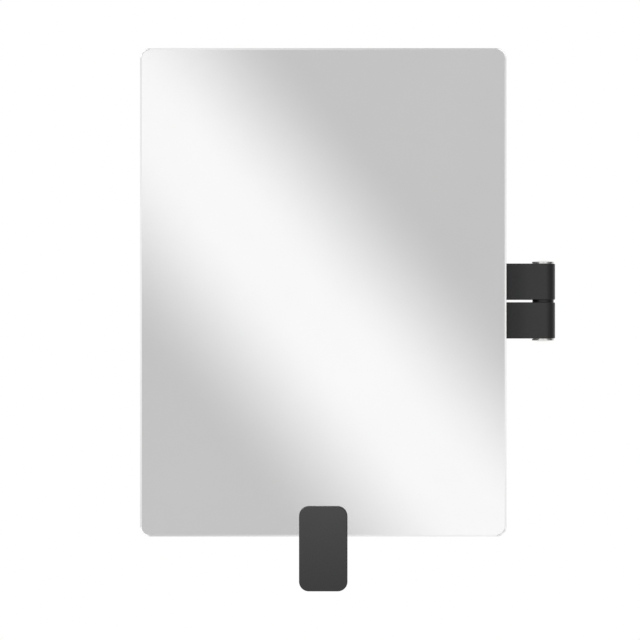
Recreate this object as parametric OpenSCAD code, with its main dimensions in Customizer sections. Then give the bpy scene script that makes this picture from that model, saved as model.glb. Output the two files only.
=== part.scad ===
// Pivot wall mirror on a folding double arm: a frameless pane that swings out from the wall,
// turns on the end of the arm and tilts, with a grip clamped on its lower edge.
// Millimetres. Z is up and the mirror faces -Y when the arms are folded. The origin is on the wall,
// behind the wall pivot, at half the height of the upper arm.

/* [Mirror pane] */
// Width of the pane
mirror_w = 450; // [380:1:520]
// Height of the pane
mirror_h = 600; // [480:1:900]
// Thickness of the glass
glass_t = 6; // [4:0.5:8]
// Radius of the pane's corners
mirror_r = 12; // [6:1:30]
// Width of the polished bevel round the front of the glass
bevel_w = 1.75; // [0.75:0.25:3]
// Depth of the bevel, over the thickness of the glass
bevel_deep = 0.9; // [0.4:0.1:2]
// Thickness of the silver coat with its paint
silver_t = 0.2; // [0.1:0.05:0.4]
// Thickness of the anti-shatter film
film_t = 0.4; // [0.2:0.1:0.8]
// Width of the bare strip round the silver coat and the film, where the back edge is ground
coat_inset = 0.75; // [0.5:0.25:2]
// Height of the pane's centre over the middle of the gap between the arms
pane_over_gap = 10.5; // [-60:0.5:60]

/* [Carrier plate] */
// Width of the pressed steel plate behind the glass
carrier_w = 300; // [240:1:360]
// Height of the plate
carrier_h = 400; // [300:1:460]
// Thickness of its sheet
carrier_t = 2; // [1.5:0.25:3]
// Depth of its turned-back edge
carrier_flange = 10; // [6:1:14]
// Radius of its corners
carrier_r = 14; // [8:1:24]
// Outer radius of the bend between the plate and its edge
carrier_bend = 4; // [3:0.5:6]
// Width of the pressed stiffening beads
bead_w = 9; // [6:0.5:14]
// Distance of each stiffening bead from the middle of the plate
bead_x = 80; // [70:1:100]
// Thickness of the foam mounting tape
tape_t = 2; // [1:0.25:3]
// Width of a strip of tape
tape_w = 25; // [15:1:30]
// Number of strips
tape_count = 4; // [2:1:6]

/* [Arms] */
// Distance between the two pivot axes of an arm
arm_reach = 273; // [240:1:340]
// Height of an arm
arm_h = 45; // [40:1:56]
// Depth of an arm
arm_d = 30; // [28:1:34]
// Gap between the upper arm and the lower arm
arm_gap = 3; // [2:0.25:5]
// Rounding of the long edges
arm_edge = 1.5; // [0.5:0.25:3]
// Wall of the cored casting
arm_wall = 3; // [2.5:0.25:4]
// Thickness of the ribs in the core
rib_t = 2.5; // [1.5:0.25:3.5]
// Number of diagonal ribs
rib_count = 6; // [3:1:9]
// Thickness of the cover over the core
cover_t = 2; // [1.5:0.25:3]

/* [Pivots] */
// Radius of the pins
pin_r = 6; // [5:0.25:7]
// Radius of a pin's threaded end
thread_r = 5; // [3.5:0.25:5]
// Wall of the bushes
bush_wall = 2; // [1.5:0.25:2.5]
// Length of a bush
bush_len = 10; // [6:0.5:12]
// Thickness of each ear of a fork
ear_t = 8; // [6:0.5:9]
// Gap for a thrust washer between an ear and the tongue
washer_t = 1; // [0.5:0.25:2]
// Radius of the head of a fork's pin
pin_head_r = 9.5; // [8:0.25:11]
// Height of the head of a fork's pin
pin_head_h = 2.5; // [2:0.25:3]
// Radial clearance between a turning pin and its bush
run_gap = 0.05; // [0.02:0.01:0.09]
// Play along a pivot axis
end_play = 0.05; // [0.02:0.01:0.1]
// Gap round the tongue in the throat of a fork
throat_gap = 1.5; // [1:0.25:2.5]

/* [Elbow] */
// Radius of the spacer between the arms
spacer_r = 13.25; // [11:0.25:14]
// Radius of the polished caps
cap_r = 13.75; // [10:0.25:14.5]
// Height of a cap's rim
cap_rim = 2.25; // [1:0.25:3]
// Rise of a cap's domed face over its rim
cap_dome = 2; // [0.8:0.1:3]
// Height of the shadow line under a cap's rim
cap_foot = 0.4; // [0.2:0.1:0.8]
// Radius of a cap's threaded stud
stud_r = 4; // [2.5:0.25:4.5]
// Length of a cap's stud
stud_len = 9; // [6:0.5:14]
// Radius of the grub screw that locks the pin
grub_r = 2.5; // [2:0.25:3]

/* [Wall bracket] */
// Distance of the wall pivot from the wall
pivot_out = 30; // [28:0.5:33]
// Width of the wall plate
plate_w = 55; // [54:0.5:58]
// Height of the wall plate above the upper arm
plate_rise = 60; // [52:1:80]
// Thickness of the wall plate
plate_t = 8; // [6:0.5:9]
// Radius of the plate's corners
plate_r = 12; // [4:0.5:14]
// Spacing of the wall screws across
hole_dx = 33; // [28:0.5:35]
// Spacing of the wall screws up
hole_dz = 30; // [24:0.5:34]
// Radius of the wall screws' holes
hole_r = 2.75; // [2:0.25:3.5]
// Height of the webs over the fork
web_h = 16; // [8:1:24]
// Thickness of the webs over the fork
web_t = 4; // [3:0.5:6]

/* [Tilt hinge] */
// Distance of the tilt axis from the swivel axis
tilt_out = 33; // [33:0.5:38]
// Radius of the barrel
barrel_r = 9; // [8:0.25:10]
// Radius of the tilt bolt
bolt_r = 4; // [3:0.25:4.5]
// Wall of the tilt bushes
tilt_bush_wall = 1.5; // [1:0.25:2]
// Thickness of the tilt bracket's base
bracket_t = 3; // [2.5:0.25:4]
// Thickness of the tilt bracket's ears
bracket_ear_t = 5; // [4:0.5:6]
// Half the width of the tilt bracket's base
bracket_half = 42; // [38:1:60]
// Radius of the weld bead along each ear
weld_r = 1.75; // [1:0.25:2.25]
// Gap between the barrel and the tilt bracket's base
barrel_gap = 1; // [0.75:0.25:2]
// Thickness of a disc spring
spring_t = 0.8; // [0.6:0.1:1.2]
// Height of a disc spring's cone
spring_cone = 0.4; // [0.2:0.1:0.6]
// Radius of the screws in the tilt bracket's base
base_screw_r = 2.5; // [2:0.25:3]

/* [Grip] */
// Width of the grip
grip_w = 59.5; // [50:0.5:80]
// Height of the part of the grip below the pane
grip_drop = 67; // [50:1:90]
// Height of the part of the grip over the pane
grip_lap = 37; // [30:1:50]
// Radius of the grip's corners
grip_r = 12; // [6:0.5:16]
// Rounding of the grip's edges
grip_edge = 1.5; // [0.5:0.25:3]
// Thickness of the front shell over the glass
grip_front_t = 5.5; // [4:0.25:8]
// Thickness of the rear shell behind the glass
grip_back_t = 6.5; // [5:0.25:9]
// Wall of the shells
grip_wall = 3; // [2.5:0.25:4]
// Thickness of the rubber pads
pad_t = 0.6; // [0.4:0.1:1]
// Gap between the pane's lower edge and the grip
pane_gap = 0.5; // [0.25:0.25:1]
// Width and depth of the seam between the two shells
seam = 0.5; // [0.3:0.1:0.8]
// Radius of the clamp screws
grip_screw_r = 2; // [1.5:0.25:2.5]

/* [Hidden] */
$fn = 64;
eps = 1;

black_paint = [0.11, 0.11, 0.115];
black_plastic = [0.16, 0.16, 0.165];
polished = [0.86, 0.87, 0.88];
steel = [0.62, 0.63, 0.65];
dark_bearing = [0.08, 0.08, 0.08];
zinc = [0.70, 0.72, 0.73];

// Pivots
knuckle_r = arm_d / 2;
lower_z = -(arm_h + arm_gap);
gap_z = lower_z / 2;
slot_h = arm_h - 2 * ear_t;
tongue_h = slot_h - 2 * washer_t;
throat = knuckle_r + throat_gap;
shoulder_x = knuckle_r + 2;
bush_r = pin_r + run_gap + bush_wall;
washer_r = knuckle_r - 1;
socket_r = pin_r * 0.55;

// Core of an arm and its cover
core_x0 = shoulder_x + 18;
core_x1 = arm_reach - knuckle_r - 18;
core_h = arm_h - 2 * arm_wall;
core_deep = arm_d - arm_wall;
cover_lap = 10;
cover_ledge = 1;
cover_r = 3;
cover_clear = 0.15;
cover_x0 = core_x0 - cover_lap;
cover_x1 = core_x1 + cover_lap;
cover_screw_r = 1.5;
cover_screw_len = 8;

// Elbow
cap_h = cap_rim + cap_dome;
cap_foot_r = cap_r - 1;
dome_r = (cap_r * cap_r + cap_dome * cap_dome) / (2 * cap_dome);
elbow_len = 2 * arm_h + arm_gap;

// Wall bracket
plate_h = arm_h + plate_rise;
plate_z = plate_rise / 2;
holes_z = arm_h / 2 + plate_rise / 2 + 2;

// Tilt hinge
tilt_y = pivot_out + tilt_out;
barrel_w = arm_d;
neck_y = throat + 2;
neck_w = barrel_w - 4;
tilt_bush_r = bolt_r + run_gap + tilt_bush_wall;
tilt_bush_len = barrel_w / 3;
ear_x0 = barrel_w / 2 + washer_t;
ear_x1 = ear_x0 + bracket_ear_t;
bracket_ear_r = barrel_r + 1.5;
ear_foot = 6;
weld_half = bracket_ear_r + ear_foot / 2;
base_r = 6;
bolt_head_h = 5.3;
bolt_af = 13;
nut_h = 6.5;
springs_h = 2 * (spring_t + spring_cone);
bolt_tail = springs_h + nut_h + 1.5;
base_front = tilt_y + barrel_r + barrel_gap;
base_screw_x = bracket_half - 8;
base_screw_z = arm_h / 2 - 8;
base_screw_head_r = base_screw_r * 1.85;
base_screw_head_h = 2.4;

// Layers behind the glass, as distances from the wall
carrier_y = base_front + bracket_t;
tape_y = carrier_y + carrier_t;
film_y = tape_y + tape_t;
silver_y = film_y + film_t;
glass_y = silver_y + silver_t;
pane_front = glass_y + glass_t;
pane_z = gap_z + pane_over_gap;
pane_bottom = pane_z - mirror_h / 2;
coat_w = mirror_w - 2 * coat_inset;
coat_h = mirror_h - 2 * coat_inset;
coat_r = mirror_r - coat_inset;
tape_h = carrier_h - 40;
tape_pitch = (carrier_w - tape_w - 30) / (tape_count - 1);
bead_h = carrier_h - 90;

// Grip
grip_h = grip_drop + grip_lap;
grip_z = pane_bottom + (grip_lap - grip_drop) / 2;
sandwich_t = glass_t + silver_t + film_t + 2 * pad_t;
half_sandwich = sandwich_t / 2;
grip_rear = film_y - pad_t - grip_back_t;
parting = film_y - pad_t + half_sandwich;
grip_screw_z = [-0.26 * grip_drop, -0.74 * grip_drop];
boss_r = grip_screw_r + 2.5;
grip_head_r = grip_screw_r * 1.8;
grip_head_h = grip_screw_r * 1.2;
pad_w = grip_w - 2 * grip_wall;
pad_h = grip_lap - grip_wall;
pad_r = 4;

// ---- Shared shapes ----

// Section of a bar with four rounded edges
module soft_rect(w, h, e) {
    square([w - 2 * e, h], center = true);
    square([w, h - 2 * e], center = true);
    for (sx = [-1, 1], sy = [-1, 1])
        translate([sx * (w / 2 - e), sy * (h / 2 - e)]) circle(r = e);
}

// Upright round end of a bar, with its rims rounded
module soft_disc(r, h, e) {
    rotate_extrude()
        intersection() {
            soft_rect(2 * r, h, e);
            translate([0, -h / 2]) square([r, h]);
        }
}

// Bar along +X from the origin, with its long edges rounded
module soft_bar(length, d, h, e) {
    rotate([90, 0, 90]) linear_extrude(length) soft_rect(d, h, e);
}

// Section of a plate whose back lies on y = 0; its front edges are rounded by e, or where a depth is given,
// bevelled by that depth over the width e
module rim_section(w, t, e, deep) {
    if (deep > 0) {
        translate([-w / 2, 0]) square([w, t - deep]);
        polygon([[-w / 2, t - deep], [w / 2, t - deep], [w / 2 - e, t], [-w / 2 + e, t]]);
    } else {
        translate([-w / 2, 0]) square([w, t - e]);
        translate([-w / 2 + e, 0]) square([w - 2 * e, t]);
        for (s = [-1, 1]) translate([s * (w / 2 - e), t - e]) circle(r = e);
    }
}

// Plate lying on z = 0, with round corners and its upper rim rounded or bevelled
module rimmed_plate(w, h, t, r, e, deep = 0) {
    rotate([90, 0, 0]) linear_extrude(h - 2 * r, center = true) rim_section(w, t, e, deep);
    rotate([90, 0, 90]) linear_extrude(w - 2 * r, center = true) rim_section(h, t, e, deep);
    for (sx = [-1, 1], sy = [-1, 1])
        translate([sx * (w / 2 - r), sy * (h / 2 - r), 0])
            rotate_extrude()
                intersection() {
                    rim_section(2 * r, t, e, deep);
                    square([r, t]);
                }
}

// Outline with round corners
module round_rect(w, h, r) {
    square([w - 2 * r, h], center = true);
    square([w, h - 2 * r], center = true);
    for (sx = [-1, 1], sy = [-1, 1])
        translate([sx * (w / 2 - r), sy * (h / 2 - r)]) circle(r = r);
}

// Stands a lying plate up, its back face at the given distance from the wall
module stand(out, z = 0) {
    translate([0, -out, z]) rotate([90, 0, 0]) children();
}

// Turns a shape's Z axis to +X
module lay_x() {
    rotate([0, 90, 0]) children();
}

module ring(r_out, r_in, h) {
    difference() {
        cylinder(r = r_out, h = h);
        translate([0, 0, -eps]) cylinder(r = r_in, h = h + 2 * eps);
    }
}

// Hexagonal prism of a given width across flats
module hexagon(af, h) {
    cylinder(r = af / 2 / cos(30), h = h, $fn = 6);
}

module at_wall_pivot() {
    translate([0, -pivot_out, 0]) children();
}

module at_lower_pivot() {
    translate([0, -pivot_out, lower_z]) children();
}

module at_tilt() {
    translate([0, -tilt_y, lower_z]) children();
}

// ---- Pivots ----

// Fork with its pin axis on Z and its closed side towards -Y
module fork(reach) {
    difference() {
        union() {
            soft_disc(knuckle_r, arm_h, arm_edge);
            rotate([0, 0, -90]) soft_bar(reach, arm_d, arm_h, arm_edge);
        }
        translate([-arm_d, -throat, -slot_h / 2])
            cube([2 * arm_d, throat + knuckle_r + eps, slot_h]);
        cylinder(r = pin_r, h = arm_h);
        translate([0, 0, -arm_h]) cylinder(r = thread_r, h = arm_h);
    }
}

// Headed pin of a fork: plain shank, stepped thread in the lower ear, hexagon socket in the head
module fork_pin() {
    difference() {
        union() {
            translate([0, 0, -slot_h / 2]) cylinder(r = pin_r, h = slot_h + ear_t);
            translate([0, 0, -arm_h / 2]) cylinder(r = thread_r, h = ear_t);
            translate([0, 0, arm_h / 2]) cylinder(r = pin_head_r, h = pin_head_h);
        }
        translate([0, 0, arm_h / 2 - 2]) hexagon(2 * socket_r, pin_head_h + 2 + eps);
    }
}

// Thrust washers seated on the two ears of a fork
module fork_washers() {
    for (s = [0, 1])
        mirror([0, 0, s])
            translate([0, 0, tongue_h / 2 + end_play])
                ring(washer_r, pin_r + run_gap, washer_t - end_play);
}

// Two bushes, flush with the ends of a bore of height h
module bush_pair(h) {
    for (s = [0, 1])
        mirror([0, 0, s])
            translate([0, 0, h / 2 - bush_len])
                ring(bush_r, pin_r + run_gap, bush_len);
}

// ---- Arms ----

// Straight rib between two points of the core
module rib_line(p, q) {
    d = q - p;
    translate(p) rotate(atan2(d[1], d[0])) translate([0, -rib_t / 2]) square([norm(d), rib_t]);
}

// Outline of the core: a long box crossed by diagonal ribs
module core_outline() {
    pitch = (core_x1 - core_x0) / rib_count;
    difference() {
        translate([core_x0, -core_h / 2]) square([core_x1 - core_x0, core_h]);
        for (i = [0 : rib_count - 1]) {
            s = i % 2 == 0 ? 1 : -1;
            rib_line([core_x0 + i * pitch, -s * core_h / 2], [core_x0 + (i + 1) * pitch, s * core_h / 2]);
        }
    }
}

// One arm, pivot axes on Z at x = 0 and x = arm_reach, cored from its wall side
module arm_casting(knuckle_bore) {
    difference() {
        union() {
            soft_disc(knuckle_r, tongue_h, arm_edge);
            soft_bar(core_x0, arm_d, tongue_h, arm_edge);
            translate([shoulder_x, 0, 0])
                soft_bar(arm_reach - shoulder_x, arm_d, arm_h, arm_edge);
            translate([arm_reach, 0, 0]) soft_disc(knuckle_r, arm_h, arm_edge);
        }
        translate([0, knuckle_r + eps, 0])
            rotate([90, 0, 0]) linear_extrude(core_deep + eps) core_outline();
        translate([0, knuckle_r + eps, 0]) rotate([90, 0, 0]) linear_extrude(cover_t + eps) cover_outline(0);
        cover_screw_places() cylinder(r = cover_screw_r, h = cover_screw_len + eps);
        translate([0, 0, -arm_h]) cylinder(r = bush_r, h = 2 * arm_h);
        translate([arm_reach, 0, -arm_h]) cylinder(r = knuckle_bore, h = 2 * arm_h);
    }
}

// Outline of the cover, smaller than its recess by a clearance
module cover_outline(clear) {
    w = cover_x1 - cover_x0 - 2 * clear;
    h = core_h + 2 * cover_ledge - 2 * clear;
    translate([(cover_x0 + cover_x1) / 2, 0]) round_rect(w, h, cover_r);
}

// Places of the cover's two screws, on the arm's outer face and pointing into the arm
module cover_screw_places() {
    for (x = [cover_x0 + cover_lap / 2, cover_x1 - cover_lap / 2])
        translate([x, knuckle_r, 0]) rotate([90, 0, 0]) children();
}

module countersunk_screw(r, length) {
    cylinder(r1 = 2 * r, r2 = r, h = r);
    cylinder(r = r, h = length);
}

module arm_cover() {
    difference() {
        translate([0, knuckle_r, 0])
            rotate([90, 0, 0]) linear_extrude(cover_t) cover_outline(cover_clear);
        cover_screw_places() translate([0, 0, -eps]) cylinder(r = cover_screw_r, h = cover_t + 2 * eps);
        cover_screw_places() cylinder(r1 = 2 * cover_screw_r, r2 = cover_screw_r, h = cover_screw_r);
    }
}

module arm_cover_screws() {
    cover_screw_places()
        difference() {
            countersunk_screw(cover_screw_r, cover_screw_len);
            translate([0, 0, -eps]) hexagon(cover_screw_r * 1.3, cover_screw_r * 0.7 + eps);
        }
}

// Place of the elbow axis on the upper arm
module at_elbow() {
    translate([arm_reach, -pivot_out, 0]) children();
}

module grub_place() {
    translate([0, pin_r, 0]) rotate([-90, 0, 0]) children();
}

// Domed cap with a stud; its rim stands clear of the arm by the shadow line
module elbow_cap() {
    rotate_extrude($fn = 128)
        intersection() {
            union() {
                square([cap_foot_r, cap_h]);
                translate([0, cap_foot]) square([cap_r, cap_h - cap_foot]);
            }
            translate([0, cap_h - dome_r]) circle(r = dome_r, $fn = 720);
        }
    translate([0, 0, -stud_len]) cylinder(r = stud_r, h = stud_len + eps / 2);
}

// ---- Wall side ----

module wall_bracket() {
    color(black_paint)
        difference() {
            union() {
                stand(0, plate_z) rimmed_plate(plate_w, plate_h, plate_t, plate_r, arm_edge);
                at_wall_pivot() rotate([0, 0, 180]) fork(pivot_out - plate_t / 2);
                for (s = [-1, 1])
                    translate([s * (arm_d / 2 - web_t) - web_t / 2, 0, 0])
                        rotate([90, 0, 90]) linear_extrude(web_t)
                            polygon([
                                [-plate_t / 2, arm_h / 2 - arm_edge],
                                [-(pivot_out - pin_head_r - 1), arm_h / 2 - arm_edge],
                                [-plate_t / 2, arm_h / 2 + web_h]
                            ]);
            }
            for (sx = [-1, 1], sz = [-1, 1])
                translate([sx * hole_dx / 2, eps, holes_z + sz * hole_dz / 2])
                    rotate([90, 0, 0]) cylinder(r = hole_r, h = plate_t + 2 * eps);
        }
}

module wall_pin() {
    color(steel) at_wall_pivot() fork_pin();
}

module wall_washers() {
    color(dark_bearing) at_wall_pivot() fork_washers();
}

// ---- Upper arm and elbow ----

module wall_arm() {
    color(black_paint)
        at_wall_pivot()
            difference() {
                arm_casting(pin_r);
                translate([arm_reach, 0, 0]) grub_place() cylinder(r = grub_r, h = knuckle_r);
            }
}

module wall_arm_bushes() {
    color(dark_bearing) at_wall_pivot() bush_pair(tongue_h);
}

module wall_arm_cover() {
    color(black_plastic) at_wall_pivot() arm_cover();
}

module wall_arm_cover_screws() {
    color(steel) at_wall_pivot() arm_cover_screws();
}

module elbow_pin() {
    color(steel)
        at_elbow()
            difference() {
                translate([0, 0, arm_h / 2 - elbow_len]) cylinder(r = pin_r, h = elbow_len);
                translate([0, 0, arm_h / 2 - stud_len]) cylinder(r = stud_r, h = stud_len + eps);
                translate([0, 0, arm_h / 2 - elbow_len - eps]) cylinder(r = stud_r, h = stud_len + eps);
            }
}

module elbow_grub_screw() {
    color(steel)
        at_elbow() grub_place()
            difference() {
                cylinder(r = grub_r, h = knuckle_r - pin_r - 1);
                translate([0, 0, knuckle_r - pin_r - 4]) hexagon(grub_r, 4);
            }
}

module elbow_spacer() {
    color(dark_bearing)
        at_elbow()
            translate([0, 0, -arm_h / 2 - arm_gap + end_play])
                ring(spacer_r, pin_r, arm_gap - end_play);
}

module elbow_cap_top() {
    color(polished) at_elbow() translate([0, 0, arm_h / 2]) elbow_cap();
}

module elbow_cap_bottom() {
    color(polished)
        at_elbow()
            translate([0, 0, arm_h / 2 - elbow_len - end_play]) mirror([0, 0, 1]) elbow_cap();
}

// ---- Lower arm ----

module mirror_arm() {
    color(black_paint) at_lower_pivot() arm_casting(bush_r);
}

module mirror_arm_elbow_bushes() {
    color(dark_bearing) at_lower_pivot() translate([arm_reach, 0, 0]) bush_pair(arm_h);
}

module mirror_arm_bushes() {
    color(dark_bearing) at_lower_pivot() bush_pair(tongue_h);
}

module mirror_arm_cover() {
    color(black_plastic) at_lower_pivot() arm_cover();
}

module mirror_arm_cover_screws() {
    color(steel) at_lower_pivot() arm_cover_screws();
}

// ---- Swivel yoke and tilt hinge ----

module yoke() {
    color(black_paint)
        difference() {
            union() {
                at_lower_pivot() mirror([0, 0, 1]) fork(neck_y + 3);
                at_lower_pivot()
                    translate([-neck_w / 2, 0, 0])
                        rotate([90, 0, 90]) linear_extrude(neck_w)
                            polygon([
                                [-neck_y, arm_h / 2 - arm_edge],
                                [-tilt_out, barrel_r],
                                [-tilt_out, -barrel_r],
                                [-neck_y, -arm_h / 2 + arm_edge]
                            ]);
                at_tilt() translate([-barrel_w / 2, 0, 0]) lay_x() cylinder(r = barrel_r, h = barrel_w);
            }
            at_tilt() translate([-barrel_w, 0, 0]) lay_x() cylinder(r = tilt_bush_r, h = 2 * barrel_w);
        }
}

module swivel_pin() {
    color(steel) at_lower_pivot() mirror([0, 0, 1]) fork_pin();
}

module swivel_washers() {
    color(dark_bearing) at_lower_pivot() fork_washers();
}

module tilt_bushes() {
    color(dark_bearing)
        at_tilt()
            for (s = [0, 1])
                mirror([s, 0, 0])
                    translate([barrel_w / 2 - tilt_bush_len, 0, 0])
                        lay_x() ring(tilt_bush_r, bolt_r + run_gap, tilt_bush_len);
}

module tilt_friction_washers() {
    color(dark_bearing)
        at_tilt()
            for (s = [0, 1])
                mirror([s, 0, 0])
                    translate([barrel_w / 2, 0, 0])
                        lay_x() ring(barrel_r, bolt_r + run_gap, washer_t - end_play);
}

// Welded steel bracket: a base on the carrier plate and two ears that hold the bolt
module tilt_bracket() {
    foot_y = tilt_y - base_front - bracket_t + eps;
    foot_z = bracket_ear_r + ear_foot;
    color(black_paint)
        difference() {
            union() {
                stand(base_front, lower_z)
                    linear_extrude(bracket_t) round_rect(2 * bracket_half, arm_h, base_r);
                at_tilt()
                    for (s = [0, 1])
                        mirror([s, 0, 0])
                            translate([ear_x0, 0, 0])
                                rotate([90, 0, 90]) linear_extrude(ear_x1 - ear_x0) {
                                    circle(r = bracket_ear_r);
                                    polygon([
                                        [0, bracket_ear_r], [foot_y, foot_z],
                                        [foot_y, -foot_z], [0, -bracket_ear_r]
                                    ]);
                                }
                translate([0, -base_front, lower_z])
                    for (s = [-1, 1])
                        translate([s * ear_x1, 0, 0]) cylinder(r = weld_r, h = 2 * weld_half, center = true);
            }
            at_tilt() translate([-bracket_half, 0, 0]) lay_x() cylinder(r = bolt_r, h = 2 * bracket_half);
            base_screw_places() cylinder(r = base_screw_r, h = bracket_t + 2 * eps);
        }
}

// Hexagon bolt through both ears and the barrel
module tilt_bolt() {
    color(steel)
        at_tilt() {
            translate([-ear_x1 - bolt_tail, 0, 0]) lay_x() cylinder(r = bolt_r, h = 2 * ear_x1 + bolt_tail);
            translate([ear_x1, 0, 0]) lay_x() hexagon(bolt_af, bolt_head_h);
        }
}

// Two disc springs set face to face under the nut
module tilt_disc_springs() {
    color(steel)
        at_tilt()
            translate([-ear_x1 - springs_h / 2, 0, 0])
                for (s = [0, 1])
                    mirror([s, 0, 0])
                        lay_x()
                            rotate_extrude()
                                polygon([
                                    [bolt_r, spring_cone], [barrel_r - 1, 0],
                                    [barrel_r - 1, spring_t], [bolt_r, spring_cone + spring_t]
                                ]);
}

module tilt_nut() {
    color(steel)
        at_tilt()
            translate([-ear_x1 - springs_h - nut_h, 0, 0])
                lay_x()
                    difference() {
                        hexagon(bolt_af, nut_h);
                        translate([0, 0, -eps]) cylinder(r = bolt_r, h = nut_h + 2 * eps);
                    }
}

// Places of the four screws of the tilt bracket, just behind its base and pointing to the glass
module base_screw_places() {
    for (sx = [-1, 1], sz = [-1, 1])
        translate([sx * base_screw_x, -base_front + eps, lower_z + sz * base_screw_z])
            rotate([90, 0, 0]) children();
}

module bracket_screws() {
    color(steel)
        base_screw_places()
            difference() {
                union() {
                    translate([0, 0, eps - base_screw_head_h])
                        cylinder(r = base_screw_head_r, h = base_screw_head_h);
                    translate([0, 0, eps]) cylinder(r = base_screw_r, h = bracket_t + carrier_t);
                }
                translate([0, 0, -base_screw_head_h]) hexagon(base_screw_r * 1.2, base_screw_head_h);
            }
}

// ---- Mirror ----

// Long capsule on the rear face of the carrier plate
module bead(x, r) {
    translate([x, -carrier_y, pane_z]) {
        cylinder(r = r, h = bead_h, center = true);
        for (s = [-1, 1]) translate([0, 0, s * bead_h / 2]) sphere(r = r);
    }
}

// Pressed steel tray behind the glass, with its edge turned back and two stiffening beads
module carrier_plate() {
    tray_deep = carrier_flange + carrier_t;
    inner_w = carrier_w - 2 * carrier_t;
    inner_h = carrier_h - 2 * carrier_t;
    inner_r = carrier_r - carrier_t;
    inner_bend = carrier_bend - carrier_t;
    color(zinc)
        difference() {
            union() {
                difference() {
                    stand(carrier_y - carrier_flange, pane_z)
                        rimmed_plate(carrier_w, carrier_h, tray_deep, carrier_r, carrier_bend);
                    stand(carrier_y - carrier_flange - eps, pane_z)
                        rimmed_plate(inner_w, inner_h, carrier_flange + eps, inner_r, inner_bend);
                }
                for (s = [-1, 1])
                    intersection() {
                        bead(s * bead_x, bead_w / 2);
                        stand(0, pane_z) linear_extrude(tape_y) round_rect(inner_w, inner_h, carrier_r);
                    }
            }
            for (s = [-1, 1]) bead(s * bead_x, bead_w / 2 - carrier_t);
            base_screw_places() cylinder(r = base_screw_r, h = bracket_t + carrier_t + 2 * eps);
        }
}

module mounting_tape() {
    color([0.9, 0.9, 0.88])
        for (i = [0 : tape_count - 1])
            stand(tape_y, pane_z)
                translate([(i - (tape_count - 1) / 2) * tape_pitch - tape_w / 2, -tape_h / 2, 0])
                    cube([tape_w, tape_h, tape_t]);
}

module safety_film() {
    color([0.55, 0.57, 0.6])
        stand(film_y, pane_z)
            linear_extrude(film_t) round_rect(coat_w, coat_h, coat_r);
}

module mirror_silvering() {
    color([0.8, 0.82, 0.84])
        stand(silver_y, pane_z)
            linear_extrude(silver_t) round_rect(coat_w, coat_h, coat_r);
}

module mirror_glass() {
    color([0.85, 0.87, 0.88])
        stand(glass_y, pane_z) rimmed_plate(mirror_w, mirror_h, glass_t, mirror_r, bevel_w, bevel_deep);
}

// ---- Grip on the lower edge ----

// Hollow below the pane in one shell, left open at the parting plane, with a boss round each screw
module grip_hollow(deep) {
    top = pane_bottom - grip_wall;
    bottom = pane_bottom - grip_drop + grip_wall;
    translate([0, (top + bottom) / 2 - grip_z, 0])
        linear_extrude(deep)
            difference() {
                round_rect(grip_w - 2 * grip_wall, top - bottom, grip_r - grip_wall);
                for (z = grip_screw_z)
                    translate([0, pane_bottom + z - (top + bottom) / 2]) circle(r = boss_r);
            }
}

// Room for the pane and a pad in one shell
module grip_seat() {
    seat_h = grip_lap + pane_gap + eps;
    translate([-grip_w, grip_h / 2 + eps - seat_h, 0]) cube([2 * grip_w, seat_h, half_sandwich]);
}

// Half of the seam that runs round the shells where they meet
module grip_seam() {
    translate([0, 0, -eps])
        linear_extrude(seam / 2 + eps)
            difference() {
                square([2 * grip_w, 2 * grip_h], center = true);
                round_rect(grip_w - 2 * seam, grip_h - 2 * seam, grip_r - seam);
            }
}

module grip_screw_places() {
    for (z = grip_screw_z)
        stand(grip_rear, pane_bottom + z) children();
}

module grip_front() {
    deep = half_sandwich + grip_front_t;
    color(black_plastic)
        difference() {
            stand(parting, grip_z)
                difference() {
                    rimmed_plate(grip_w, grip_h, deep, grip_r, grip_edge);
                    grip_seat();
                    grip_hollow(deep - grip_wall);
                    grip_seam();
                }
            grip_screw_places() cylinder(r = grip_screw_r, h = parting - grip_rear + half_sandwich);
        }
}

module grip_back() {
    deep = half_sandwich + grip_back_t;
    color(black_plastic)
        difference() {
            stand(parting, grip_z)
                mirror([0, 0, 1])
                    difference() {
                        rimmed_plate(grip_w, grip_h, deep, grip_r, grip_edge);
                        grip_seat();
                        grip_hollow(deep - grip_wall);
                        grip_seam();
                    }
            grip_screw_places() translate([0, 0, -eps]) cylinder(r = grip_screw_r, h = 2 * deep);
            grip_screw_places() translate([0, 0, -eps]) cylinder(r = grip_head_r, h = grip_head_h + eps);
        }
}

// Rubber pads before and behind the glass
module grip_pads() {
    color(dark_bearing)
        for (out = [film_y - pad_t, pane_front])
            stand(out, pane_bottom + pad_h / 2)
                linear_extrude(pad_t) round_rect(pad_w, pad_h, pad_r);
}

module grip_screws() {
    color(steel)
        grip_screw_places()
            difference() {
                union() {
                    cylinder(r = grip_head_r, h = grip_head_h);
                    cylinder(r = grip_screw_r, h = parting - grip_rear + half_sandwich);
                }
                translate([0, 0, -eps]) hexagon(grip_screw_r * 1.3, grip_head_h * 0.6 + eps);
            }
}

wall_bracket();
wall_pin();
wall_washers();
wall_arm();
wall_arm_bushes();
wall_arm_cover();
wall_arm_cover_screws();
elbow_pin();
elbow_grub_screw();
elbow_spacer();
elbow_cap_top();
elbow_cap_bottom();
mirror_arm();
mirror_arm_elbow_bushes();
mirror_arm_bushes();
mirror_arm_cover();
mirror_arm_cover_screws();
yoke();
swivel_pin();
swivel_washers();
tilt_bushes();
tilt_friction_washers();
tilt_bracket();
tilt_bolt();
tilt_disc_springs();
tilt_nut();
bracket_screws();
carrier_plate();
mounting_tape();
safety_film();
mirror_silvering();
mirror_glass();
grip_front();
grip_back();
grip_pads();
grip_screws();
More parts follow.
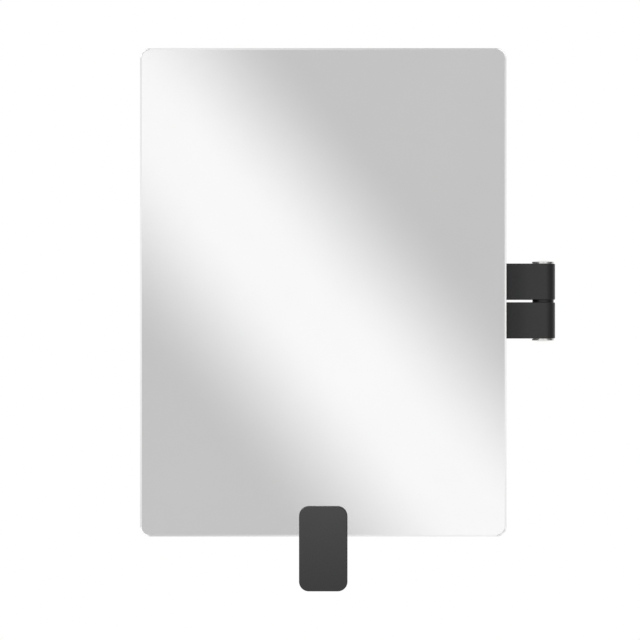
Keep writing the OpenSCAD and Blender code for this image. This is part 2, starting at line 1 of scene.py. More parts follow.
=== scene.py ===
import bpy
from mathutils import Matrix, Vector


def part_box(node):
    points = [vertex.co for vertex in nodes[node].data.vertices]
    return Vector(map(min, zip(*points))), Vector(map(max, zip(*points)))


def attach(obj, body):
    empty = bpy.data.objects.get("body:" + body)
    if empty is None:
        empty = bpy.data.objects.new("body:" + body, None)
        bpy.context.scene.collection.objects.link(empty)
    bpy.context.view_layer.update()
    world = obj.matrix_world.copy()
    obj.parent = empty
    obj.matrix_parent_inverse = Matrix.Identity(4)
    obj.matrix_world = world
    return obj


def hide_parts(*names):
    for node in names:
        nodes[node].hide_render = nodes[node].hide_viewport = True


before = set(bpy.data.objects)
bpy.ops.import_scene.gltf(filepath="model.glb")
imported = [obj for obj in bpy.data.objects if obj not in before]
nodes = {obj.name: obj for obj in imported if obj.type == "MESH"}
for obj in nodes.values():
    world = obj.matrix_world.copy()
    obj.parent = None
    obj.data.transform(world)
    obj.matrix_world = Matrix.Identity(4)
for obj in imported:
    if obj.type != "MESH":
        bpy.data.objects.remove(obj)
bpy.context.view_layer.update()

print("frame loaded:", len(nodes), "nodes")

white = (1.0, 1.0, 1.0, 1.0)
quarterTurn = 1.5707963
waveLength = 0.31416                              # one band of the wave texture at Scale 1
noiseSpan = {"From Min": 0.3, "From Max": 0.7}    # where nearly all values of a noise texture lie


def toLinear(hexColour):
    channels = [int(hexColour[i:i + 2], 16) / 255 for i in (1, 3, 5)]
    return [c / 12.92 if c <= 0.04045 else ((c + 0.055) / 1.055) ** 2.4 for c in channels] + [1.0]


def connect(tree, target, sources):
    for key, source in sources.items():
        tree.links.new(source, target.inputs[key])


def addNode(tree, kind, settings=None, links=None):
    node = tree.nodes.new(kind)
    for key, value in (settings or {}).items():
        if isinstance(key, str) and hasattr(node, key):
            setattr(node, key, value)
        else:
            node.inputs[key].default_value = value
    connect(tree, node, links or {})
    return node


def startFinish(name, settings):
    material = bpy.data.materials.new(name)
    material.use_nodes = True
    tree = material.node_tree
    shader = tree.nodes["Principled BSDF"]
    for key, value in settings.items():
        shader.inputs[key].default_value = value
    coords = addNode(tree, "ShaderNodeTexCoord")
    return material, tree, shader, coords.outputs["Object"]


def paint(material, names):
    for name in names:
        slots = nodes[name].data.materials
        slots.clear()
        slots.append(material)


# Black powder coat on the castings and the steel bracket. Thermoset powder, sprayed and baked: matt black
# with a shallow orange peel, a fine grit that breaks up the highlight, and slightly rubbed corners.
coat = {
    "dark": "#1b1b1c",
    "pale": "#212122",
    "rubbed": "#29292b",
    "cloud": 0.07,
    "peel": 0.0022,           # waves of the baked film
    "grit": 0.0007,           # really about 0.1 mm, drawn coarser so that it shows
    "depth": 0.00012,
    "peelStrength": 0.6,
    "gritStrength": 0.8,
    "rubWidth": 0.0016,
    "rubFrom": 0.62,          # how open a corner is where the rubbing starts, and where it is full
    "rubTo": 0.30,
    "rubMost": 0.55,
    "roughLow": 0.28,
    "roughHigh": 0.40,
}


def makePowderCoat(name):
    material, tree, shader, place = startFinish(name, {"IOR": 1.5})
    cloud = addNode(
        tree, "ShaderNodeTexNoise", {"Scale": 1 / coat["cloud"], "Detail": 3.0}, {"Vector": place})
    peel = addNode(
        tree, "ShaderNodeTexNoise", {"Scale": 1 / coat["peel"], "Detail": 1.0}, {"Vector": place})
    grit = addNode(
        tree, "ShaderNodeTexNoise", {"Scale": 1 / coat["grit"], "Detail": 2.0}, {"Vector": place})
    tone = addNode(
        tree, "ShaderNodeMix", {"data_type": "RGBA", 6: toLinear(coat["dark"]), 7: toLinear(coat["pale"])},
        {0: cloud.outputs[0]})
    corner = addNode(
        tree, "ShaderNodeAmbientOcclusion",
        {"inside": True, "only_local": True, "samples": 6, "Distance": coat["rubWidth"]})
    worn = addNode(
        tree, "ShaderNodeMapRange",
        {"From Min": coat["rubFrom"], "From Max": coat["rubTo"], "To Max": coat["rubMost"]},
        {"Value": corner.outputs["AO"]})
    patchy = addNode(
        tree, "ShaderNodeMath", {"operation": "MULTIPLY"}, {0: worn.outputs[0], 1: peel.outputs[0]})
    colour = addNode(
        tree, "ShaderNodeMix", {"data_type": "RGBA", 7: toLinear(coat["rubbed"])},
        {0: patchy.outputs[0], 6: tone.outputs[2]})
    rough = addNode(
        tree, "ShaderNodeMapRange", {**noiseSpan, "To Min": coat["roughLow"], "To Max": coat["roughHigh"]},
        {"Value": grit.outputs[0]})
    waves = addNode(
        tree, "ShaderNodeBump", {"Strength": coat["peelStrength"], "Distance": coat["depth"]},
        {"Height": peel.outputs[0]})
    grain = addNode(
        tree, "ShaderNodeBump", {"Strength": coat["gritStrength"], "Distance": coat["depth"]},
        {"Height": grit.outputs[0], "Normal": waves.outputs[0]})
    connect(tree, shader, {
        "Base Color": colour.outputs[2], "Roughness": rough.outputs[0], "Normal": grain.outputs[0]})
    return material


paint(makePowderCoat("powderCoatedAluminium"), ["wall_bracket", "wall_arm", "mirror_arm", "yoke"])
paint(makePowderCoat("powderCoatedSteel"), ["tilt_bracket"])
print("powder coat done")

# Moulded plastic: arm covers and the grip. Injection moulded ABS and polyamide, from a spark-eroded mould:
# an even fine grain and a soft sheen. The grip's colour darkens towards its lower end: painted shade for
# light that falls off downwards.
mould = {
    "coverDark": "#1b1b1c",
    "coverPale": "#212122",
    "coverRoughness": 0.55,
    "gripDark": "#2f2f30",
    "gripPale": "#363637",
    # colour of the painted shade at the grip's lower end
    "gripPaintedShade": "#212122",
    "gripRoughness": 0.42,
    # heights in Z where the grip's painted shade starts, and where it is full
    "paintedShadeFrom": -0.250,
    "paintedShadeTo": -0.385,
    "grain": 0.0009,          # spark-eroded grain is 0.1 to 0.3 mm, drawn coarser so that it shows
    "grainDepth": 0.00016,
    "grainStrength": 0.8,
    "flow": 0.05,
    "uneven": 0.05,           # how far the roughness strays to either side
}


def makeMouldedPlastic(name, dark, pale, roughness, paintedShade=None):
    material, tree, shader, place = startFinish(name, {"IOR": 1.47})
    flow = addNode(
        tree, "ShaderNodeTexNoise", {"Scale": 1 / mould["flow"], "Detail": 2.0}, {"Vector": place})
    grain = addNode(
        tree, "ShaderNodeTexVoronoi", {"feature": "SMOOTH_F1", "Scale": 1 / mould["grain"]},
        {"Vector": place})
    colour = addNode(
        tree, "ShaderNodeMix", {"data_type": "RGBA", 6: toLinear(dark), 7: toLinear(pale)},
        {0: flow.outputs[0]})
    # painted shade: the colour darkens from the grip's top towards its lower end, standing in for light that
    # falls off downwards
    if paintedShade:
        height = addNode(tree, "ShaderNodeSeparateXYZ", None, {0: place})
        paintedShadeMask = addNode(
            tree, "ShaderNodeMapRange", {"From Min": mould["paintedShadeFrom"], "From Max": mould["paintedShadeTo"]},
            {"Value": height.outputs["Z"]})
        colour = addNode(
            tree, "ShaderNodeMix", {"data_type": "RGBA", 7: toLinear(paintedShade)},
            {0: paintedShadeMask.outputs[0], 6: colour.outputs[2]})
    rough = addNode(
        tree, "ShaderNodeMapRange",
        {**noiseSpan, "To Min": roughness - mould["uneven"], "To Max": roughness + mould["uneven"]},
        {"Value": flow.outputs[0]})
    skin = addNode(
        tree, "ShaderNodeBump", {"Strength": mould["grainStrength"], "Distance": mould["grainDepth"]},
        {"Height": grain.outputs[0]})
    connect(tree, shader, {
        "Base Color": colour.outputs[2], "Roughness": rough.outputs[0], "Normal": skin.outputs[0]})
    return material


cover = makeMouldedPlastic(
    "mouldedAbsCover", mould["coverDark"], mould["coverPale"], mould["coverRoughness"])
paint(cover, ["wall_arm_cover", "mirror_arm_cover"])
# the grip takes painted shade towards its lower end
grip = makeMouldedPlastic(
    "mouldedPolyamideGrip", mould["gripDark"], mould["gripPale"], mould["gripRoughness"],
    mould["gripPaintedShade"])
paint(grip, ["grip_front", "grip_back"])
print("moulded plastic done")

# Acetal bearings. Turned from black acetal rod: nearly black, waxy, with faint tool rings.
acetal = {
    "dark": "#0c0c0d",
    "pale": "#151516",
    "cloud": 0.004,
    "rings": 0.0006,          # tool marks, really 0.1 mm apart, drawn coarser so that they show
    "ringDepth": 0.00003,
    "ringStrength": 0.25,
    "waver": 0.4,
    "roughLow": 0.30,
    "roughHigh": 0.42,
}
material, tree, shader, place = startFinish("turnedAcetal", {"IOR": 1.48})
rings = addNode(
    tree, "ShaderNodeTexWave",
    {"bands_direction": "Z", "Scale": waveLength / acetal["rings"], "Distortion": acetal["waver"]},
    {"Vector": place})
cloud = addNode(
    tree, "ShaderNodeTexNoise", {"Scale": 1 / acetal["cloud"], "Detail": 2.0}, {"Vector": place})
colour = addNode(
    tree, "ShaderNodeMix", {"data_type": "RGBA", 6: toLinear(acetal["dark"]), 7: toLinear(acetal["pale"])},
    {0: cloud.outputs[0]})
rough = addNode(
    tree, "ShaderNodeMapRange", {"To Min": acetal["roughLow"], "To Max": acetal["roughHigh"]},
    {"Value": rings.outputs["Fac"]})
cut = addNode(
    tree, "ShaderNodeBump", {"Strength": acetal["ringStrength"], "Distance": acetal["ringDepth"]},
    {"Height": rings.outputs["Fac"]})
connect(tree, shader, {
    "Base Color": colour.outputs[2], "Roughness": rough.outputs[0], "Normal": cut.outputs[0]})
paint(material, [
    "wall_washers", "wall_arm_bushes", "elbow_spacer", "mirror_arm_elbow_bushes", "mirror_arm_bushes",
    "swivel_washers", "tilt_bushes", "tilt_friction_washers"])

# Polished chrome. Nickel and chromium plated brass, buffed: a bright mirror shine that is very slightly
# uneven.
chrome = {
    "colour": "#f5f3f0",
    "shade": "#ebe8e4",
    "buff": 0.005,
    "roughLow": 0.10,
    "roughHigh": 0.15,
}
material, tree, shader, place = startFinish("buffedChromePlate", {"Metallic": 1.0})
buff = addNode(
    tree, "ShaderNodeTexNoise", {"Scale": 1 / chrome["buff"], "Detail": 3.0}, {"Vector": place})
colour = addNode(
    tree, "ShaderNodeMix",
    {"data_type": "RGBA", 6: toLinear(chrome["colour"]), 7: toLinear(chrome["shade"])},
    {0: buff.outputs[0]})
rough = addNode(
    tree, "ShaderNodeMapRange", {**noiseSpan, "To Min": chrome["roughLow"], "To Max": chrome["roughHigh"]},
    {"Value": buff.outputs[0]})
connect(tree, shader, {"Base Color": colour.outputs[2], "Roughness": rough.outputs[0]})
paint(material, ["elbow_cap_top", "elbow_cap_bottom"])

# Turned steel. Machine screws, pins and the nut: bright zinc-flaked steel with feed marks round the axis it
# was turned on.
steel = {
    "bright": "#b9bbbd",
    "dull": "#9a9ca0",
    "stain": 0.006,
    "feed": 0.0005,           # feed marks, really 0.1 mm apart, drawn coarser so that they show
    "feedDepth": 0.00002,
    "feedStrength": 0.3,
    "waver": 0.6,
    "roughLow": 0.24,
    "roughHigh": 0.38,
}


def makeTurnedSteel(name, axis):
    material, tree, shader, place = startFinish(name, {"Metallic": 1.0})
    feed = addNode(
        tree, "ShaderNodeTexWave",
        {"bands_direction": axis, "Scale": waveLength / steel["feed"], "Distortion": steel["waver"]},
        {"Vector": place})
    stain = addNode(
        tree, "ShaderNodeTexNoise", {"Scale": 1 / steel["stain"], "Detail": 4.0}, {"Vector": place})
    colour = addNode(
        tree, "ShaderNodeMix",
        {"data_type": "RGBA", 6: toLinear(steel["bright"]), 7: toLinear(steel["dull"])},
        {0: stain.outputs[0]})
    rough = addNode(
        tree, "ShaderNodeMapRange", {"To Min": steel["roughLow"], "To Max": steel["roughHigh"]},
        {"Value": feed.outputs["Fac"]})
    marks = addNode(
        tree, "ShaderNodeBump", {"Strength": steel["feedStrength"], "Distance": steel["feedDepth"]},
        {"Height": feed.outputs["Fac"]})
    connect(tree, shader, {
        "Base Color": colour.outputs[2], "Roughness": rough.outputs[0], "Normal": marks.outputs[0]})
    return material


paint(makeTurnedSteel("turnedSteelUpright", "Z"), ["wall_pin", "elbow_pin", "swivel_pin"])
paint(makeTurnedSteel("turnedSteelAcross", "X"), ["tilt_bolt", "tilt_disc_springs", "tilt_nut"])
paint(makeTurnedSteel("turnedSteelOutward", "Y"), [
    "wall_arm_cover_screws", "mirror_arm_cover_screws", "elbow_grub_screw", "bracket_screws",
    "grip_screws"])
print("metals done")

# Zinc-plated sheet. Cold rolled steel, pressed and electroplated: satin, faintly blue, with the rolling
# direction upright and cloudy patches from the passivation bath.
zinc = {
    "pale": "#bcc2c8",
    "grey": "#a3a9af",
    "warm": "#b7b39f",
    "rolling": 0.0007,        # rolling marks, really 0.1 mm wide, drawn coarser so that they show
    "stretch": 0.02,          # the rolling marks are fifty times as long as they are wide
    "rollingDepth": 0.00003,
    "rollingStrength": 0.25,
    "cloud": 0.045,
    "warmFrom": 0.52,
    "warmTo": 0.75,
    "warmMost": 0.45,
    "roughLow": 0.32,
    "roughHigh": 0.46,
}
material, tree, shader, place = startFinish("zincPlatedSheet", {"Metallic": 1.0})
stretched = addNode(tree, "ShaderNodeMapping", {"Scale": (1.0, 1.0, zinc["stretch"])}, {"Vector": place})
rolling = addNode(
    tree, "ShaderNodeTexNoise", {"Scale": 1 / zinc["rolling"], "Detail": 2.0},
    {"Vector": stretched.outputs[0]})
cloud = addNode(
    tree, "ShaderNodeTexNoise", {"Scale": 1 / zinc["cloud"], "Detail": 4.0}, {"Vector": place})
tone = addNode(
    tree, "ShaderNodeMix", {"data_type": "RGBA", 6: toLinear(zinc["grey"]), 7: toLinear(zinc["pale"])},
    {0: rolling.outputs[0]})
tinge = addNode(
    tree, "ShaderNodeMapRange",
    {"From Min": zinc["warmFrom"], "From Max": zinc["warmTo"], "To Max": zinc["warmMost"]},
    {"Value": cloud.outputs[0]})
colour = addNode(
    tree, "ShaderNodeMix", {"data_type": "RGBA", 7: toLinear(zinc["warm"])},
    {0: tinge.outputs[0], 6: tone.outputs[2]})
rough = addNode(
    tree, "ShaderNodeMapRange", {**noiseSpan, "To Min": zinc["roughLow"], "To Max": zinc["roughHigh"]},
    {"Value": cloud.outputs[0]})
lines = addNode(
    tree, "ShaderNodeBump", {"Strength": zinc["rollingStrength"], "Distance": zinc["rollingDepth"]},
    {"Height": rolling.outputs[0]})
connect(tree, shader, {
    "Base Color": colour.outputs[2], "Roughness": rough.outputs[0], "Normal": lines.outputs[0]})
paint(material, ["carrier_plate"])

# Foam tape. Closed-cell polyethylene foam, slit into strips: off-white, dull, with small open cells at the
# cut edges.
foam = {
    "pale": "#e9e8e2",
    "shade": "#d8d6cd",
    "roughness": 0.9,
    "cell": 0.0008,           # cells of the foam, really 0.3 mm wide, drawn coarser so that they show
    "cellDepth": 0.00015,
    "cellStrength": 0.6,
}
material, tree, shader, place = startFinish("slitFoamTape", {"Roughness": foam["roughness"]})
cell = addNode(tree, "ShaderNodeTexVoronoi", {"Scale": 1 / foam["cell"]}, {"Vector": place})
colour = addNode(
    tree, "ShaderNodeMix", {"data_type": "RGBA", 6: toLinear(foam["shade"]), 7: toLinear(foam["pale"])},
    {0: cell.outputs["Distance"]})
pores = addNode(
    tree, "ShaderNodeBump", {"Strength": foam["cellStrength"], "Distance": foam["cellDepth"]},
    {"Height": cell.outputs["Distance"]})
connect(tree, shader, {"Base Color": colour.outputs[2], "Normal": pores.outputs[0]})
paint(material, ["mounting_tape"])

# Safety film over the backing paint. Curtain-coated paint under a laminated, reinforced polyester film: a
# pale cool grey with a soft shine, a faint mesh and long ripples.
film = {
    "grey": "#bdc1c4",
    "shade": "#aeb3b8",
    "weave": 0.0012,          # mesh that the film is reinforced with
    "ripple": 0.018,
    "rippleDepth": 0.0004,
    "rippleStrength": 0.3,
    "roughLow": 0.42,
    "roughHigh": 0.52,
    "gloss": 0.35,
    "glossRoughness": 0.12,
}
material, tree, shader, place = startFinish(
    "laminatedSafetyFilm", {"Coat Weight": film["gloss"], "Coat Roughness": film["glossRoughness"]})
ripple = addNode(
    tree, "ShaderNodeTexNoise", {"Scale": 1 / film["ripple"], "Detail": 1.0}, {"Vector": place})
weave = addNode(
    tree, "ShaderNodeTexVoronoi", {"feature": "SMOOTH_F1", "Scale": 1 / film["weave"]}, {"Vector": place})
colour = addNode(
    tree, "ShaderNodeMix", {"data_type": "RGBA", 6: toLinear(film["grey"]), 7: toLinear(film["shade"])},
    {0: weave.outputs["Distance"]})
rough = addNode(
    tree, "ShaderNodeMapRange", {**noiseSpan, "To Min": film["roughLow"], "To Max": film["roughHigh"]},
    {"Value": ripple.outputs[0]})
wrinkle = addNode(
    tree, "ShaderNodeBump", {"Strength": film["rippleStrength"], "Distance": film["rippleDepth"]},
    {"Height": ripple.outputs[0]})
connect(tree, shader, {
    "Base Color": colour.outputs[2], "Roughness": rough.outputs[0], "Normal": wrinkle.outputs[0],
    "Coat Normal": wrinkle.outputs[0]})
paint(material, ["safety_film"])

# Silver coat. Chemically deposited silver behind float glass: a clean neutral reflection, with the least
# cloudiness. It is a piece of its own, because light that passes the glass has to leave it before it meets
# the silver.
silver = {
    "bright": "#f9f9f9",
    "cloudy": "#f5f5f5",
    "cloud": 0.12,
    "airGap": 0.00005,        # between glass and silver, much less than the coat's thickness
    "corner": 0.01125,
    "cornerSteps": 16,
}
low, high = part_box("mirror_silvering")
bpy.ops.object.select_all(action="DESELECT")
bpy.ops.mesh.primitive_plane_add(
    size=1.0, location=((low.x + high.x) / 2, low.y + silver["airGap"], (low.z + high.z) / 2),
    rotation=(quarterTurn, 0, 0))
silverCoat = bpy.context.object
silverCoat.name = "silver_coat"
silverCoat.scale = (high.x - low.x, high.z - low.z, 1.0)
bpy.ops.object.transform_apply(location=True, rotation=True, scale=True)
bpy.ops.object.mode_set(mode="EDIT")
bpy.ops.mesh.select_all(action="SELECT")
bpy.ops.mesh.bevel(
    offset=silver["corner"], offset_type="OFFSET", segments=silver["cornerSteps"], affect="VERTICES")
bpy.ops.mesh.select_all(action="SELECT")
bpy.ops.mesh.extrude_region_move(
    TRANSFORM_OT_translate={"value": (0, high.y - low.y - silver["airGap"], 0)})
bpy.ops.mesh.select_all(action="SELECT")
bpy.ops.mesh.normals_make_consistent(inside=False)
bpy.ops.object.mode_set(mode="OBJECT")
material, tree, shader, place = startFinish("depositedSilver", {"Metallic": 1.0, "Roughness": 0.0})
cloud = addNode(
    tree, "ShaderNodeTexNoise", {"Scale": 1 / silver["cloud"], "Detail": 2.0}, {"Vector": place})
colour = addNode(
    tree, "ShaderNodeMix",
    {"data_type": "RGBA", 6: toLinear(silver["bright"]), 7: toLinear(silver["cloudy"])},
    {0: cloud.outputs[0]})
connect(tree, shader, {"Base Color": colour.outputs[2]})
silverCoat.data.materials.append(material)
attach(silverCoat, "mirror")
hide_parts("mirror_silvering")

# Float glass. Flawless faces and a clear polished bevel, a little hazy round the corners, where it is
# polished by hand. The flat edge is ground and only half polished, so it scatters the light and shows the
# pale green of the iron in the glass.
glass = {
    "face": "#ffffff",
    "ground": "#d4ebe0",
    "streak": "#bfdccf",
    "grind": 0.0009,          # marks of the diamond wheel, really 0.2 mm apart, drawn coarser to show
    "groundRoughness": 0.38,
    "groundClear": 0.3,
    "edgeFrom": 0.6,          # Y of the normal, either sign: the flat edge starts here, and is full below
    "edgeTo": 0.3,
    "cornerFrom": 0.01,       # X times Z of the normal, which is nothing along the straight edges
    "cornerTo": 0.05,
    "cornerClear": 0.65,
}
material, tree, shader, place = startFinish("floatGlassPolishedEdge", {"IOR": 1.52})
facing = addNode(
    tree, "ShaderNodeSeparateXYZ", None, {0: tree.nodes["Texture Coordinate"].outputs["Normal"]})
straight = addNode(tree, "ShaderNodeMath", {"operation": "ABSOLUTE"}, {0: facing.outputs["Y"]})
isEdge = addNode(
    tree, "ShaderNodeMapRange", {"From Min": glass["edgeFrom"], "From Max": glass["edgeTo"]},
    {"Value": straight.outputs[0]})
grind = addNode(
    tree, "ShaderNodeTexNoise", {"Scale": 1 / glass["grind"], "Detail": 2.0}, {"Vector": place})
ground = addNode(
    tree, "ShaderNodeMix",
    {"data_type": "RGBA", 6: toLinear(glass["ground"]), 7: toLinear(glass["streak"])},
    {0: grind.outputs[0]})
colour = addNode(
    tree, "ShaderNodeMix", {"data_type": "RGBA", 6: toLinear(glass["face"])},
    {0: isEdge.outputs[0], 7: ground.outputs[2]})
rough = addNode(
    tree, "ShaderNodeMath", {"operation": "MULTIPLY", 1: glass["groundRoughness"]}, {0: isEdge.outputs[0]})
edgeClear = addNode(
    tree, "ShaderNodeMapRange", {"To Min": 1.0, "To Max": glass["groundClear"]},
    {"Value": isEdge.outputs[0]})
turn = addNode(
    tree, "ShaderNodeMath", {"operation": "MULTIPLY"}, {0: facing.outputs["X"], 1: facing.outputs["Z"]})
turned = addNode(tree, "ShaderNodeMath", {"operation": "ABSOLUTE"}, {0: turn.outputs[0]})
cornerClear = addNode(
    tree, "ShaderNodeMapRange",
    {"From Min": glass["cornerFrom"], "From Max": glass["cornerTo"],
     "To Min": 1.0, "To Max": glass["cornerClear"]},
    {"Value": turned.outputs[0]})
clear = addNode(
    tree, "ShaderNodeMath", {"operation": "MULTIPLY"},
    {0: edgeClear.outputs[0], 1: cornerClear.outputs[0]})
connect(tree, shader, {
    "Base Color": colour.outputs[2], "Roughness": rough.outputs[0], "Transmission Weight": clear.outputs[0]})
paint(material, ["mirror_glass"])

# Rubber pads. Die-cut EPDM sheet: dull black with a fine talc bloom.
rubber = {
    "dark": "#161616",
    "bloom": "#2b2b2b",
    "roughness": 0.85,
    "speck": 0.0015,
    "speckFrom": 0.5,
    "speckTo": 0.8,
}
material, tree, shader, place = startFinish("dieCutRubber", {"Roughness": rubber["roughness"]})
speck = addNode(
    tree, "ShaderNodeTexNoise", {"Scale": 1 / rubber["speck"], "Detail": 4.0}, {"Vector": place})
dust = addNode(
    tree, "ShaderNodeMapRange", {"From Min": rubber["speckFrom"], "From Max": rubber["speckTo"]},
    {"Value": speck.outputs[0]})
colour = addNode(
    tree, "ShaderNodeMix", {"data_type": "RGBA", 6: toLinear(rubber["dark"]), 7: toLinear(rubber["bloom"])},
    {0: dust.outputs[0]})
connect(tree, shader, {"Base Color": colour.outputs[2]})
paint(material, ["grip_pads"])
print("sheet, tape, film, glass and rubber done")


def sortRays(tree):
    rays = addNode(tree, "ShaderNodeLightPath")
    shiny = addNode(
        tree, "ShaderNodeMath", {"operation": "MAXIMUM"},
        {0: rays.outputs["Is Glossy Ray"], 1: rays.outputs["Is Transmission Ray"]})
    return rays.outputs["Is Camera Ray"], shiny.outputs[0]


# Studio. The camera sees plain white and matt surfaces see an even pale grey. What metal and glass reflect
# is a room: a grey card straight in front with one soft diagonal strip of light across it, paler strips
# further round, darker sides, two black flags that shade the elbow, and a softbox at the upper left. Its
# measures are parts of a direction of length one.
room = {
    "plain": 0.80,            # for matt surfaces
    "card": 0.59,
    "cardFrom": -0.994,       # Y of a direction that meets the card, and of one to the wall round it
    "wallFrom": -0.972,
    "wall": 0.62,
    "strip": 1.015,
    "stripAside": 0.97,
    "stripWay": (0.776, 0.0, 0.631),
    "stripShift": 0.00095,    # sets the strip where the pane shows it in the photograph
    "stripEvery": 0.175,
    "stripCore": 0.0037,      # half the width of the strip's bright middle
    "stripFoot": 0.038,       # the same with its soft foot, on the card only
    "cardStrip": 0.990,       # Y of a direction, either sign, that meets the narrow strip on the card
    "asideStrip": 0.975,      # and of one that meets the wide strips further round
    "side": 0.45,             # what is left of the room's light straight to the left and right
    "sideFrom": 0.1,
    "sideTo": 0.9,
    "behindFrom": 0.90,       # Y of a direction that meets the plain wall behind the object
    "behindTo": 0.84,
    "flags": [
        {"way": (-0.766, 0.643, 0.0), "level": 0.20, "core": 0.97, "foot": 0.60},
        {"way": (0.945, -0.327, 0.0), "level": 0.42, "core": 0.97, "foot": 0.72},
    ],
    "softbox": 1.02,
    "softboxWay": (-0.469, -0.750, 0.469),
    "softboxFoot": 0.90,
    "softboxCore": 0.985,
}
world = bpy.data.worlds.new("studioRoom")
bpy.context.scene.world = world
world.use_nodes = True
world.cycles.sampling_method = "NONE"
tree = world.node_tree
backdrop = tree.nodes["Background"]
way = addNode(tree, "ShaderNodeTexCoord").outputs["Generated"]
axes = addNode(tree, "ShaderNodeSeparateXYZ", None, {0: way})
along = addNode(tree, "ShaderNodeMath", {"operation": "ABSOLUTE"}, {0: axes.outputs["Y"]})

between = addNode(
    tree, "ShaderNodeMapRange",
    {"interpolation_type": "SMOOTHSTEP", "From Min": room["wallFrom"], "From Max": room["cardFrom"],
     "To Min": room["wall"], "To Max": room["card"]},
    {"Value": axes.outputs["Y"]})
across = addNode(
    tree, "ShaderNodeVectorMath", {"operation": "DOT_PRODUCT", 1: room["stripWay"]}, {0: way})
shifted = addNode(
    tree, "ShaderNodeMath", {"operation": "ADD", 1: room["stripShift"]}, {0: across.outputs["Value"]})
folded = addNode(
    tree, "ShaderNodeMath", {"operation": "PINGPONG", 1: room["stripEvery"] / 2}, {0: shifted.outputs[0]})
foot = addNode(
    tree, "ShaderNodeMapRange",
    {"interpolation_type": "SMOOTHSTEP", "From Min": room["cardStrip"], "From Max": room["asideStrip"],
     "To Min": room["stripFoot"], "To Max": room["stripEvery"] / 2},
    {"Value": along.outputs[0]})
peak = addNode(
    tree, "ShaderNodeMapRange",
    {"From Min": room["asideStrip"], "From Max": room["cardStrip"],
     "To Min": room["stripAside"], "To Max": room["strip"]},
    {"Value": along.outputs[0]})
strip = addNode(
    tree, "ShaderNodeMapRange", {"interpolation_type": "SMOOTHSTEP", "From Min": room["stripCore"]},
    {"Value": folded.outputs[0], "From Max": foot.outputs[0], "To Min": peak.outputs[0],
     "To Max": between.outputs[0]})
inFront = addNode(
    tree, "ShaderNodeMapRange", {"From Min": room["behindFrom"], "From Max": room["behindTo"]},
    {"Value": axes.outputs["Y"]})
roomTone = addNode(
    tree, "ShaderNodeMix", {"data_type": "FLOAT", 2: 1.0}, {0: inFront.outputs[0], 3: strip.outputs[0]})
print("room walls and strips done")

sideShade = addNode(
    tree, "ShaderNodeMapRange",
    {"interpolation_type": "SMOOTHSTEP", "From Min": room["sideFrom"], "From Max": room["sideTo"],
     "To Min": room["side"]},
    {"Value": along.outputs[0]})
shaded = addNode(
    tree, "ShaderNodeMath", {"operation": "MULTIPLY"}, {0: roomTone.outputs[0], 1: sideShade.outputs[0]})
for flag in room["flags"]:
    towardsFlag = addNode(
        tree, "ShaderNodeVectorMath", {"operation": "DOT_PRODUCT", 1: flag["way"]}, {0: way})
    flagShade = addNode(
        tree, "ShaderNodeMapRange",
        {"interpolation_type": "SMOOTHSTEP", "From Min": flag["core"], "From Max": flag["foot"],
         "To Min": flag["level"]},
        {"Value": towardsFlag.outputs["Value"]})
    shaded = addNode(
        tree, "ShaderNodeMath", {"operation": "MULTIPLY"},
        {0: shaded.outputs[0], 1: flagShade.outputs[0]})
towardsBox = addNode(
    tree, "ShaderNodeVectorMath", {"operation": "DOT_PRODUCT", 1: room["softboxWay"]}, {0: way})
isBox = addNode(
    tree, "ShaderNodeMapRange",
    {"interpolation_type": "SMOOTHSTEP", "From Min": room["softboxFoot"], "From Max": room["softboxCore"]},
    {"Value": towardsBox.outputs["Value"]})
seen = addNode(
    tree, "ShaderNodeMix", {"data_type": "FLOAT", 3: room["softbox"]},
    {0: isBox.outputs[0], 2: shaded.outputs[0]})
cameraRay, shinyRay = sortRays(tree)
plainOrRoom = addNode(
    tree, "ShaderNodeMix", {"data_type": "FLOAT", 2: room["plain"]}, {0: shinyRay, 3: seen.outputs[0]})
level = addNode(
    tree, "ShaderNodeMix", {"data_type": "FLOAT", 3: 1.0}, {0: cameraRay, 2: plainOrRoom.outputs[0]})
connect(tree, backdrop, {"Strength": level.outputs[0]})
backdrop.inputs["Color"].default_value = white
print("room shades and softbox done")

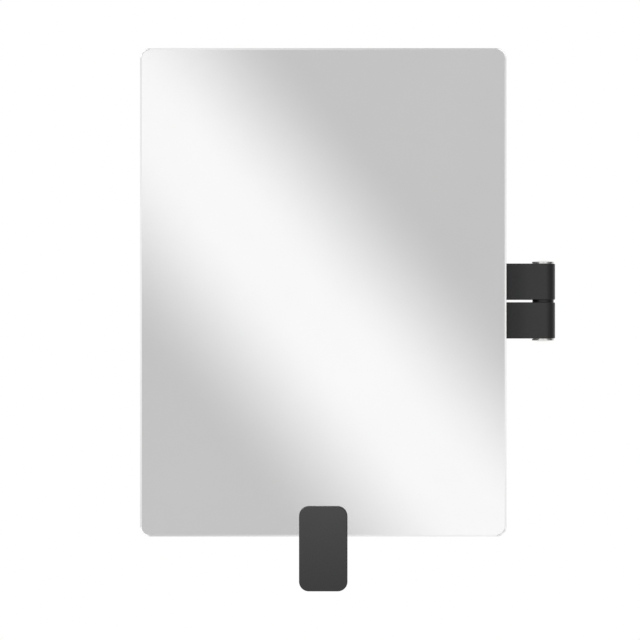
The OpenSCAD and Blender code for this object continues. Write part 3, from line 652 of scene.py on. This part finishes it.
# Pale floor. It keeps the object's shadow. It is clear from below, and metal and glass see the room
# through it.
floorPlan = {
    "size": 26.0,
    "height": -1.5,
    "colour": "#f4f4f2",
    "roughness": 0.9,
    "glow": 0.42,
}
bpy.ops.object.select_all(action="DESELECT")
bpy.ops.mesh.primitive_plane_add(size=floorPlan["size"], location=(0, 0, floorPlan["height"]))
floor = bpy.context.object
floor.name = "paleFloor"
material, tree, shader = startFinish(
    "paleStudioFloor",
    {"Base Color": toLinear(floorPlan["colour"]), "Roughness": floorPlan["roughness"],
     "Emission Color": white})[:3]
cameraRay, shinyRay = sortRays(tree)
glow = addNode(
    tree, "ShaderNodeMath", {"operation": "MULTIPLY", 1: floorPlan["glow"]}, {0: cameraRay})
connect(tree, shader, {"Emission Strength": glow.outputs[0]})
under = addNode(tree, "ShaderNodeNewGeometry")
isClear = addNode(
    tree, "ShaderNodeMath", {"operation": "MAXIMUM"}, {0: shinyRay, 1: under.outputs["Backfacing"]})
clear = addNode(tree, "ShaderNodeBsdfTransparent")
surface = addNode(
    tree, "ShaderNodeMixShader", None, {0: isClear.outputs[0], 1: shader.outputs[0], 2: clear.outputs[0]})
connect(tree, tree.nodes["Material Output"], {"Surface": surface.outputs[0]})
floor.data.materials.append(material)
print("floor done")

# Lamps. A large soft key from the upper left, and a small near one for the fall-off on the grip and the
# arms. They are hidden from metal and glass, whose room has a softbox with soft edges instead.
lamps = {
    "softKey": {"power": 26.0, "size": 1.7, "place": (-1.5, -2.4, 1.5), "aim": (0.03, -0.08, -0.1)},
    "nearKey": {"power": 12.0, "size": 0.3, "place": (-0.45, -1.3, 0.25), "aim": (0.1, -0.08, -0.2)},
}
for name, plan in lamps.items():
    bpy.ops.object.light_add(type="AREA", location=plan["place"])
    lamp = bpy.context.object
    lamp.name = name
    lamp.data.energy = plan["power"]
    lamp.data.size = plan["size"]
    lamp.visible_glossy = False
    lamp.visible_transmission = False
    towards = [a - b for a, b in zip(plan["aim"], plan["place"])]
    lamp.rotation_euler = Vector(towards).to_track_quat("-Z", "Y").to_euler()
print("lamps done")

# Camera. Level and square to the pane, five metres from its front.
shot = {
    "centreX": -0.004,
    "centreZ": -0.0475,
    "distance": 5.0,
    "lens": 229.0,
    "clipEnd": 100.0,
}
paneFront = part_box("mirror_glass")[0].y
bpy.ops.object.camera_add(
    location=(shot["centreX"], paneFront - shot["distance"], shot["centreZ"]),
    rotation=(quarterTurn, 0, 0))
camera = bpy.context.object
camera.data.lens = shot["lens"]
camera.data.clip_end = shot["clipEnd"]
scene = bpy.context.scene
scene.camera = camera
scene.view_settings.view_transform = "Standard"
print("camera done")
